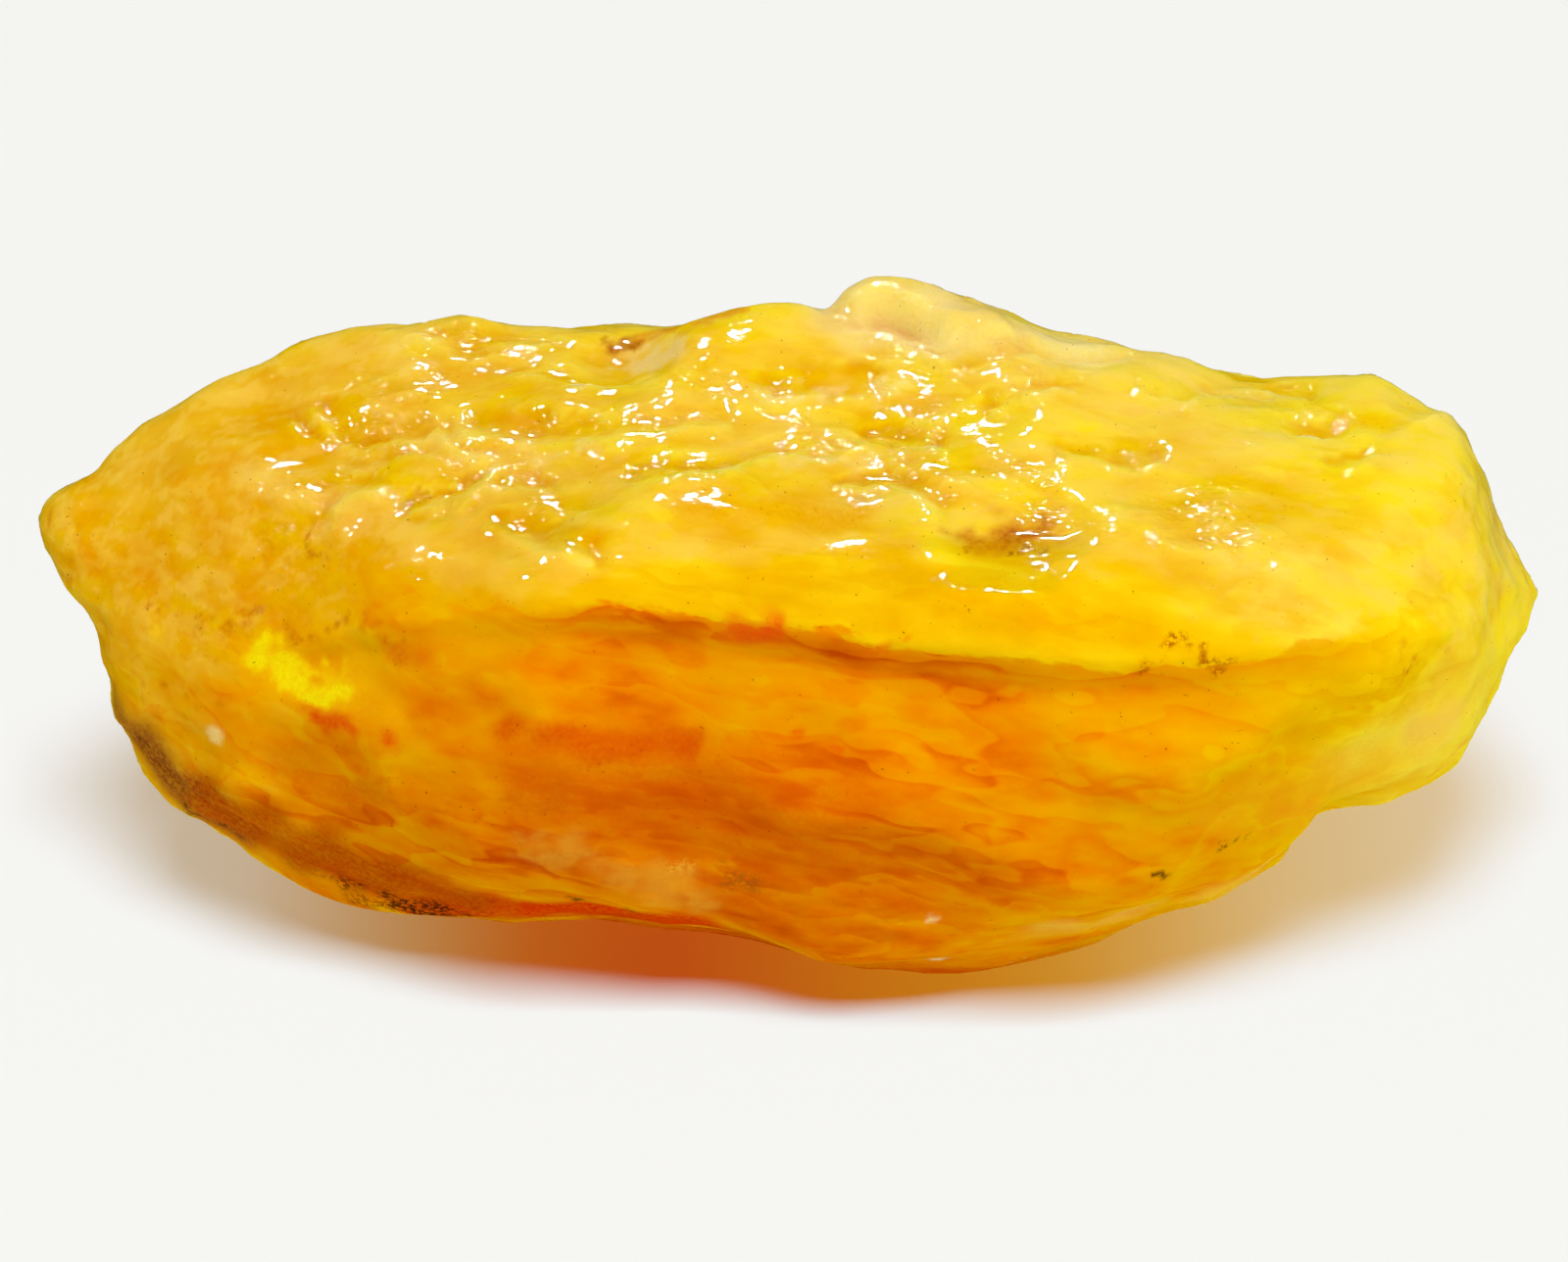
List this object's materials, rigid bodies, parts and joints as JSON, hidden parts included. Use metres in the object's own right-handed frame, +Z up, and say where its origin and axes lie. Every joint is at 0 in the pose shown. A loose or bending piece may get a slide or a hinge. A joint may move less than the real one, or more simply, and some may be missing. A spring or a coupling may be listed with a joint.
{
  "type": "rough sapphire crystal",
  "caption": "Rough, unpolished lump of yellow to orange sapphire, long and broken on every side, that rests on a small flat underneath.",
  "frame": {"origin": "centre of the base: under the middle of the stone's length and width, on the plane it rests on", "axes": "+X along the stone, from its narrow end to its blunt end, -Y towards the front with the ledge, +Z up"},
  "size_m": [0.1182, 0.0584, 0.0497],
  "materials": {
    "sapphire": "milky translucent yellow and orange crystal with glossy, wet-looking broken faces"
  },
  "bodies": {
    "root": {"rough_sapphire": "sapphire"}
  },
  "joints": []
}
